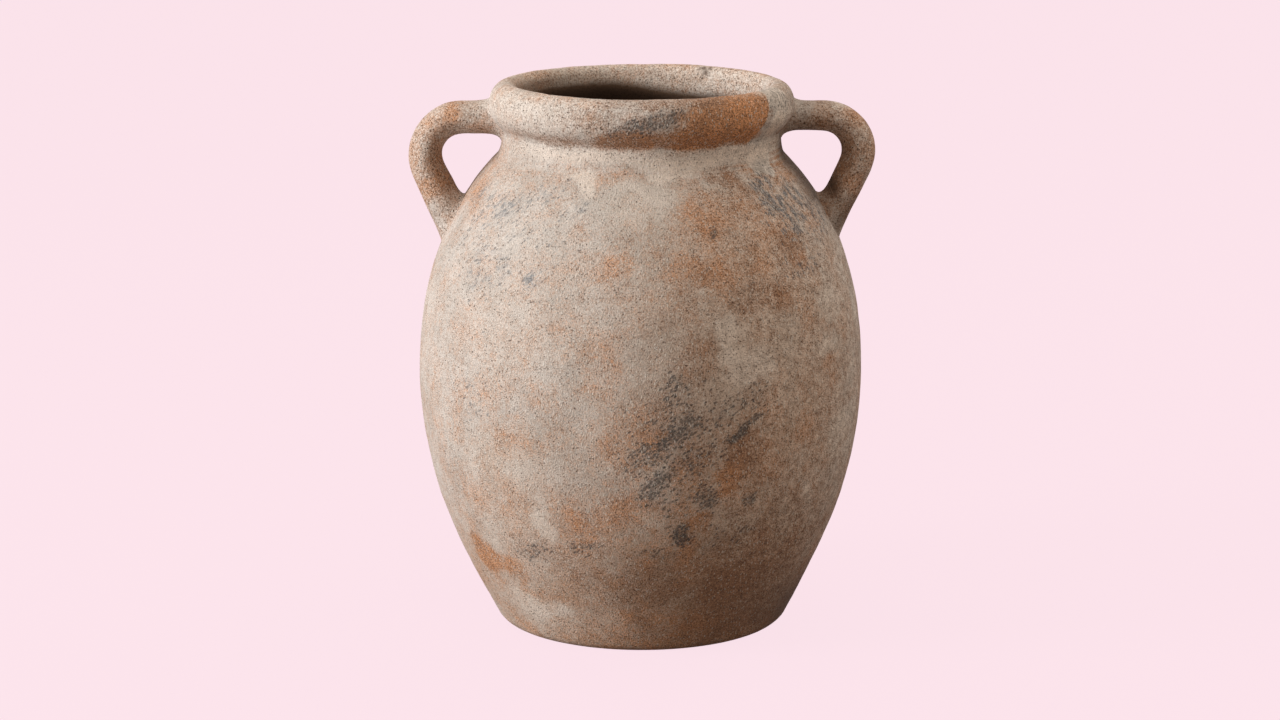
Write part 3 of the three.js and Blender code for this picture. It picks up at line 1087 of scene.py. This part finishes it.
# Values between which a pattern or a place turns from none to full
BROWN_EDGE = (-0.1, 0.9)
CLOUD_EDGE = (0.30, 0.62)
FILM_EDGE = (-0.15, 1.15)
CLUMP_EDGE = (0.27, 0.52)
STREAK_EDGE = (0.43, 0.58)
MOUTH_EDGE = (1, 1.6)
RIGHT_HALF = (-10 * MM, 10 * MM)
FAR_RIGHT = (20 * MM, 100 * MM)
FRONT_HALF = (60 * MM, -10 * MM)

# How strongly a colour covers what is under it
TAN_STRENGTH = 0.7
PALE_STRENGTH = 0.8
SOOT_STRENGTH = 0.9
WHITE_STRENGTH = 0.75
PIT_STRENGTH = 0.95

GRIT_SHARE = 0.6
MATT_SPECULAR = 0.15
GRAIN_DEPTH = 0.8 * MM

# The Mix node's two inputs and its output, for colours and for numbers
COLOUR_SOCKETS = (6, 7, 2)
NUMBER_SOCKETS = (2, 3, 0)


class Nodes:
    """Adds nodes to a tree; each input is a value or the output of another node."""

    def __init__(self, tree):
        self.tree = tree

    def node(self, kind, inputs=(), **settings):
        made = self.tree.nodes.new(kind)
        for setting, value in settings.items():
            setattr(made, setting, value)
        for socket, value in dict(inputs).items():
            self.feed(made.inputs[socket], value)
        return made

    def feed(self, socket, value):
        if isinstance(value, bpy.types.NodeSocket):
            self.tree.links.new(value, socket)
        else:
            socket.default_value = value

    def math(self, operation, *values):
        return self.node("ShaderNodeMath", enumerate(values), operation=operation).outputs[0]

    def mix(self, data_type, sockets, under, over, share):
        inputs = {"Factor": share, sockets[0]: under, sockets[1]: over}
        return self.node("ShaderNodeMix", inputs, data_type=data_type).outputs[sockets[2]]

    def blend(self, under, over, share):
        return self.mix("RGBA", COLOUR_SOCKETS, under, over, share)

    def number_blend(self, under, over, share):
        return self.mix("FLOAT", NUMBER_SOCKETS, under, over, share)


class ClayNodes(Nodes):
    """Nodes of one clay material; every pattern reads the piece's own coordinates and layers."""

    def __init__(self, material):
        material.use_nodes = True
        super().__init__(material.node_tree)
        self.shader = self.tree.nodes["Principled BSDF"]
        self.place = self.node("ShaderNodeTexCoord").outputs["Object"]
        self.axes = self.node("ShaderNodeSeparateXYZ", {0: self.place}).outputs
        self.coarse = self.painted("coarse")
        self.patchy = self.noise(PATCHES)
        self.mottled = self.noise(MOTTLING)
        self.stippled = self.noise(STIPPLE)
        turned = self.noise(TURNING, self.stretched(DRAWN_ROUND))
        self.neck_lines = self.times(self.centred(turned), self.painted("lines"))
        grit_share = self.times(self.coarse, GRIT_SHARE)
        self.grain = self.number_blend(self.noise(FINE_SAND), self.stippled, grit_share)

    def times(self, value, factor):
        return self.math("MULTIPLY", value, factor)

    def add(self, start, *terms):
        """A start value plus pairs of a value and its weight."""
        total = start
        for value, weight in terms:
            total = self.math("MULTIPLY_ADD", value, weight, total)
        return total

    def centred(self, pattern):
        """A pattern's swing about its middle value."""
        return self.add(-PATTERN_MIDDLE, (pattern, 1))

    def ease(self, value, start, end):
        inputs = {"Value": value, "From Min": start, "From Max": end}
        return self.node("ShaderNodeMapRange", inputs, interpolation_type="SMOOTHSTEP").outputs["Result"]

    def painted(self, layer):
        return self.node("ShaderNodeAttribute", attribute_name=layer).outputs["Fac"]

    def noise_node(self, pattern, where):
        inputs = {"Vector": where, "Scale": 1 / pattern.size}
        inputs.update({"Detail": pattern.detail, "Roughness": pattern.roughness})
        return self.node("ShaderNodeTexNoise", inputs)

    def noise(self, pattern, where=None):
        return self.noise_node(pattern, where or self.place).outputs["Fac"]

    def ragged(self, where, size):
        """Places moved aside by up to a size, which makes round specks of that size ragged."""
        aside = self.noise_node(Pattern(size, 1), where).outputs["Color"]
        inputs = {0: aside, 1: (size, size, size), 2: where}
        return self.node("ShaderNodeVectorMath", inputs, operation="MULTIPLY_ADD").outputs[0]

    def specks(self, kind, share, where=None):
        """Scattered specks of unlike strength, of which a share shows."""
        where = self.ragged(where or self.place, kind.size)
        cells = self.node("ShaderNodeTexVoronoi", {"Vector": where, "Scale": 1 / kind.size}).outputs
        first, second, _ = self.node("ShaderNodeSeparateColor", {0: cells["Color"]}).outputs
        shows = self.math("LESS_THAN", first, share)
        strength = self.times(shows, self.add(FAINTEST_SPECK, (second, 1 - FAINTEST_SPECK)))
        return self.times(strength, self.ease(cells["Distance"], kind.reach, kind.reach / 2))

    def stretched(self, scale):
        inputs = {"Vector": self.place, "Scale": scale}
        return self.node("ShaderNodeMapping", inputs, vector_type="TEXTURE").outputs[0]

    def streaked(self, lean, stretch):
        """The round face laid flat, stretched along streaks that rise to the right by the lean."""
        turn = self.math("ARCTAN2", self.axes["X"], self.times(self.axes["Y"], -1))
        across = self.times(turn, UNROLLED_RADIUS)
        flat = self.node("ShaderNodeCombineXYZ", {"X": across, "Z": self.axes["Z"]}).outputs[0]
        inputs = {"Vector": flat, "Rotation": (0, -math.radians(lean), 0), "Scale": (stretch, 1, 1)}
        return self.node("ShaderNodeMapping", inputs, vector_type="TEXTURE").outputs[0]


def film_share_of(nodes, film_level):
    """How much of the clay the film covers: less where it is painted bare, and unevenly all over."""
    swing = nodes.add(
        -2,
        (nodes.noise(BROAD), 0.6),
        (nodes.patchy, 1),
        (nodes.mottled, 0.8),
        (nodes.stippled, 1),
        (nodes.noise(BRUSHING, nodes.stretched(DRAWN_UP)), 0.5),
        (nodes.neck_lines, 2.2),
    )
    cover = nodes.add(film_level, (swing, 1), (nodes.painted("film"), 0.4), (nodes.painted("bare"), -0.85))
    return nodes.ease(cover, *FILM_EDGE)


def clay_and_film(nodes, film_share):
    """Orange to brown clay under a grey, tan or chalky film."""
    brown_patches = nodes.noise(BROWN_PATCHES)
    brown = nodes.add(-0.35, (nodes.painted("brown"), 0.8), (brown_patches, 1), (nodes.mottled, 0.3))
    body_colour = nodes.blend(TERRACOTTA, BROWN_CLAY, nodes.ease(brown, *BROWN_EDGE))
    clouds = nodes.ease(nodes.noise(FILM_CLOUDS), *CLOUD_EDGE)
    film_colour = nodes.blend(GREY_FILM, FILM, clouds)
    film_colour = nodes.blend(film_colour, TAN_FILM, nodes.times(nodes.painted("tan"), TAN_STRENGTH))
    film_colour = nodes.blend(film_colour, PALE_FILM, nodes.times(nodes.painted("film"), PALE_STRENGTH))
    return nodes.blend(body_colour, film_colour, film_share)


def with_ash(nodes, colour):
    """Blue-grey ash in streaks, which rise on the left and fall on the right."""
    ash = nodes.painted("ash")
    on_right = nodes.ease(nodes.axes["X"], *RIGHT_HALF)
    rising = nodes.noise(RISING_STREAKS, nodes.streaked(RISING, stretch=2.5))
    falling = nodes.noise(FALLING_STREAKS, nodes.streaked(FALLING, stretch=1.8))
    streaks = nodes.number_blend(rising, falling, on_right)
    streaks = nodes.ease(nodes.add(0, (streaks, 0.7), (nodes.patchy, 0.3)), *STREAK_EDGE)
    share = nodes.times(ash, streaks)
    rising_specks = nodes.specks(RISING_ASH, share, nodes.streaked(RISING, stretch=2))
    falling_specks = nodes.specks(FALLING_ASH, share, nodes.streaked(FALLING, stretch=1.4))
    specks = nodes.number_blend(rising_specks, falling_specks, on_right)
    haze = nodes.times(ash, nodes.add(-0.45, (nodes.stippled, 0.9), (streaks, 0.4)))
    colour = nodes.blend(colour, ASH_HAZE, haze)
    return nodes.blend(colour, ASH_SPECK, nodes.times(specks, nodes.add(0.65, (on_right, 0.3))))


def with_soot(nodes, colour):
    """Black soot in clumps of specks, with a thin haze between them."""
    soot = nodes.painted("soot")
    clumps = nodes.ease(nodes.add(0, (nodes.mottled, 0.6), (nodes.patchy, 0.4)), *CLUMP_EDGE)
    specks = nodes.specks(SOOT, nodes.times(soot, clumps), nodes.streaked(RISING, stretch=2))
    haze = nodes.times(soot, nodes.add(-0.9, (nodes.stippled, 1.7), (nodes.mottled, 0.7)))
    colour = nodes.blend(colour, SOOT_HAZE, haze)
    return nodes.blend(colour, SOOT_SPECK, nodes.times(specks, SOOT_STRENGTH))


def with_shade(nodes, colour, film_share):
    """Light and dark grains, strongest on bare clay, and blotches, strongest on the front's right, where
    they and the coarser grain are partly painted relief shade of the shaded side.
    """
    contrast = nodes.add(2.8, (film_share, -1.8), (nodes.coarse, 0.9))
    shade = nodes.add(1, (nodes.centred(nodes.grain), contrast))
    # Painted relief shade: stronger blotches on the shaded right of the front
    far_right = nodes.ease(nodes.axes["X"], *FAR_RIGHT)
    far_right = nodes.times(far_right, nodes.ease(nodes.axes["Y"], *FRONT_HALF))
    blotches = nodes.times(nodes.centred(nodes.mottled), nodes.add(0.2, (far_right, 1.2)))
    shade = nodes.add(shade, (blotches, 1), (nodes.neck_lines, 0.6))
    return nodes.node("ShaderNodeVectorMath", {0: colour, "Scale": shade}, operation="SCALE").outputs[0]


def with_dirt_and_shade(nodes, colour):
    """Dirt in the rim crack, and painted shade in the mouth, in the crooks of the handles and on shaded
    parts of the wall, near black deep in the mouth.
    """
    dirt_and_shade = nodes.painted("dirt_and_shade")
    share = nodes.times(dirt_and_shade, nodes.add(0.5, (nodes.grain, 0.4), (nodes.mottled, 0.5)))
    colour = nodes.blend(colour, DIRT_AND_SHADE, share)
    return nodes.blend(colour, MOUTH_SHADE, nodes.ease(dirt_and_shade, *MOUTH_EDGE))


def clay(name, film_level):
    """Fired clay under a worn mineral film, with smoke marks, sand grains and pits, dry and matt."""
    material = bpy.data.materials.new(name)
    nodes = ClayNodes(material)
    film_share = film_share_of(nodes, film_level)
    white_share = nodes.add(0.22, (nodes.coarse, 0.12))
    white = nodes.specks(WHITE_SAND, white_share, nodes.stretched(DRAWN_UP_A_LITTLE))
    pits = nodes.specks(PITS, nodes.add(0.22, (film_share, -0.12), (nodes.coarse, 0.12)))

    colour = clay_and_film(nodes, film_share)
    colour = with_soot(nodes, with_ash(nodes, colour))
    colour = with_shade(nodes, colour, film_share)
    colour = nodes.blend(colour, WHITE_GRAIN, nodes.times(white, WHITE_STRENGTH))
    colour = nodes.blend(colour, PIT, nodes.times(pits, PIT_STRENGTH))
    colour = with_dirt_and_shade(nodes, colour)

    roughness = nodes.add(0.8, (nodes.grain, 0.15), (film_share, 0.06))
    height = nodes.add(0, (nodes.grain, 1), (white, 0.3), (pits, -0.8), (nodes.mottled, 0.35))
    bump = nodes.node("ShaderNodeBump", {"Height": height, "Distance": GRAIN_DEPTH, "Strength": 1})
    nodes.feed(nodes.shader.inputs["Base Color"], colour)
    nodes.feed(nodes.shader.inputs["Roughness"], roughness)
    nodes.feed(nodes.shader.inputs["Specular IOR Level"], MATT_SPECULAR)
    nodes.feed(nodes.shader.inputs["Normal"], bump.outputs["Normal"])
    return material


FILM_LEVELS = {"weathered_terracotta": 0.84, "bare_terracotta": 0.76, "smeared_clay": 0.88}
MATERIALS = {name: clay(name, film_level) for name, film_level in FILM_LEVELS.items()}
SLOTS = {
    "base_slab": "bare_terracotta",
    "lower_wall": "weathered_terracotta",
    "shoulder_wall": "weathered_terracotta",
    "rim_collar": "weathered_terracotta",
    "left_handle": "weathered_terracotta",
    "right_handle": "weathered_terracotta",
}
for name, part in parts.items():
    slot = SLOTS.get(name, "smeared_clay")
    part.data.materials.clear()
    part.data.materials.append(MATERIALS[slot])
    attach(part, "root")
    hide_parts(name)


# Floor, light and camera

PINK = (0.973, 0.776, 0.840, 1)
FLOOR_SIZE = 60
FLOOR_GLOW = 0.96
FLOOR_BOUNCE = (0.18, 0.145, 0.13, 1)


def pale_to_eye(nodes):
    """1 for rays that show the background: straight from the camera, or by gloss or glass."""
    rays = nodes.node("ShaderNodeLightPath").outputs
    camera_or_gloss = nodes.math("MAXIMUM", rays["Is Camera Ray"], rays["Is Glossy Ray"])
    return nodes.math("MAXIMUM", camera_or_gloss, rays["Is Transmission Ray"])


def empty_nodes(owner):
    owner.use_nodes = True
    owner.node_tree.nodes.clear()
    return Nodes(owner.node_tree)


def floor_material():
    """Paper that is seen as the pale background with a faint shadow, and throws little light back."""
    material = bpy.data.materials.new("pale_floor")
    nodes = empty_nodes(material)
    glow = nodes.node("ShaderNodeEmission", {"Color": PINK}).outputs[0]
    paper = nodes.node("ShaderNodeBsdfDiffuse", {"Color": PINK}).outputs[0]
    seen = nodes.node("ShaderNodeMixShader", {"Fac": 1 - FLOOR_GLOW, 1: glow, 2: paper}).outputs[0]
    bounce = nodes.node("ShaderNodeBsdfDiffuse", {"Color": FLOOR_BOUNCE}).outputs[0]
    surface = nodes.node("ShaderNodeMixShader", {"Fac": pale_to_eye(nodes), 1: bounce, 2: seen}).outputs[0]
    nodes.node("ShaderNodeOutputMaterial", {"Surface": surface})
    return material


deselect_all()
bpy.ops.mesh.primitive_plane_add(size=FLOOR_SIZE, location=(0, 0, 0))
floor = bpy.context.object
floor.name = "floor"
floor.data.materials.append(floor_material())

SKY_LOW = (0.40, 0.33, 0.265, 1)
SKY_HIGH = (0.87, 0.80, 0.72, 1)


def studio_world():
    """A soft sky that lights the vase and is itself seen as the pale background."""
    world = bpy.data.worlds.new("studio")
    bpy.context.scene.world = world
    nodes = empty_nodes(world)
    where = nodes.node("ShaderNodeTexCoord").outputs["Generated"]
    height = nodes.node("ShaderNodeSeparateXYZ", {0: where}).outputs["Z"]
    sky = nodes.blend(SKY_LOW, SKY_HIGH, height)
    seen = nodes.blend(sky, PINK, pale_to_eye(nodes))
    background = nodes.node("ShaderNodeBackground", {"Color": seen}).outputs[0]
    nodes.node("ShaderNodeOutputWorld", {"Surface": background})


studio_world()

AIM = Vector((-0.5, 0, 183.5)) * MM


def direction(turn_left, rise):
    """Unit vector from the vase towards something to the left of the camera and above the horizon."""
    turn = math.radians(turn_left)
    level = math.cos(math.radians(rise))
    return Vector((-math.sin(turn) * level, -math.cos(turn) * level, math.sin(math.radians(rise))))


def softbox(name, turn_left, rise, distance, size, level, colour=(1, 1, 1)):
    deselect_all()
    bpy.ops.object.light_add(type="AREA", location=AIM + direction(turn_left, rise) * distance)
    lamp = bpy.context.object
    lamp.name = name
    lamp.data.shape = "SQUARE"
    lamp.data.size = size
    lamp.data.color = colour
    lamp.data.energy = level * math.pi**2 * distance**2
    lamp.rotation_euler = (AIM - lamp.location).to_track_quat("-Z", "Y").to_euler()


softbox("key_softbox", turn_left=72, rise=15, distance=2.6, size=0.9, level=0.85)
softbox("right_fill", turn_left=-115, rise=45, distance=2.4, size=1.2, level=0.14, colour=(1, 0.84, 0.68))

CAMERA_DISTANCE = 2.4
CAMERA_RISE = 12.1
FOCAL_PIXELS = 3421
PICTURE_WIDTH = 1280
SENSOR_WIDTH = 36

deselect_all()
bpy.ops.object.camera_add(location=AIM + direction(0, CAMERA_RISE) * CAMERA_DISTANCE)
camera = bpy.context.object
camera.name = "photo_camera"
camera.rotation_euler = (AIM - camera.location).to_track_quat("-Z", "Y").to_euler()
camera.data.sensor_width = SENSOR_WIDTH
camera.data.lens = FOCAL_PIXELS / PICTURE_WIDTH * SENSOR_WIDTH
bpy.context.scene.camera = camera
bpy.context.scene.view_settings.view_transform = "Standard"
